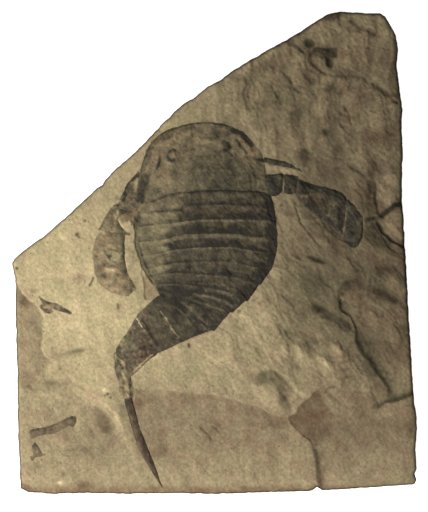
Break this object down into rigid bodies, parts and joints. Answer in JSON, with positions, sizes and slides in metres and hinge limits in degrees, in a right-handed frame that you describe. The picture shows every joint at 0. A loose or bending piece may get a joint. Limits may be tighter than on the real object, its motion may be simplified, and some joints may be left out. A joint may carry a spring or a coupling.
{
  "type": "sea scorpion fossil on a stone slab",
  "caption": "Flattened fossil of a sea scorpion, with head shield, back plates, swimming legs and tail spine, lying on a broken slab of pale brown dolostone",
  "frame": {"origin": "the middle of the slab's flat underside, under the centre of the bounding box", "axes": "+Y runs up the slab towards the animal's head end, +X to the right of the fossil face, +Z out of the fossil face"},
  "size_m": [0.1424, 0.1694, 0.0201],
  "materials": {
    "dolostone": "matt, fine-grained stone",
    "dark_cuticle": "matt with a faint sheen",
    "pale_cuticle": "matt, mottled"
  },
  "bodies": {
    "root": {"slab": "dolostone", "carapace": "dark_cuticle", "tergite_01": "dark_cuticle", "tergite_02": "dark_cuticle", "tergite_03": "dark_cuticle", "tergite_04": "dark_cuticle", "tergite_05": "dark_cuticle", "tergite_06": "dark_cuticle", "tergite_07": "dark_cuticle", "tergite_08": "dark_cuticle", "tergite_09": "dark_cuticle", "tergite_10": "dark_cuticle", "tergite_11": "dark_cuticle", "pretelson": "dark_cuticle", "telson_base": "pale_cuticle", "telson": "dark_cuticle", "left_leg_base": "pale_cuticle", "left_leg_segment": "pale_cuticle", "left_paddle": "pale_cuticle", "right_leg_base": "dark_cuticle", "right_leg_knee": "dark_cuticle", "right_leg_segment": "dark_cuticle", "right_paddle": "dark_cuticle", "walking_leg": "dark_cuticle", "cuticle_strip": "pale_cuticle", "cuticle_chip": "dark_cuticle", "cuticle_twig": "dark_cuticle"}
  },
  "joints": []
}
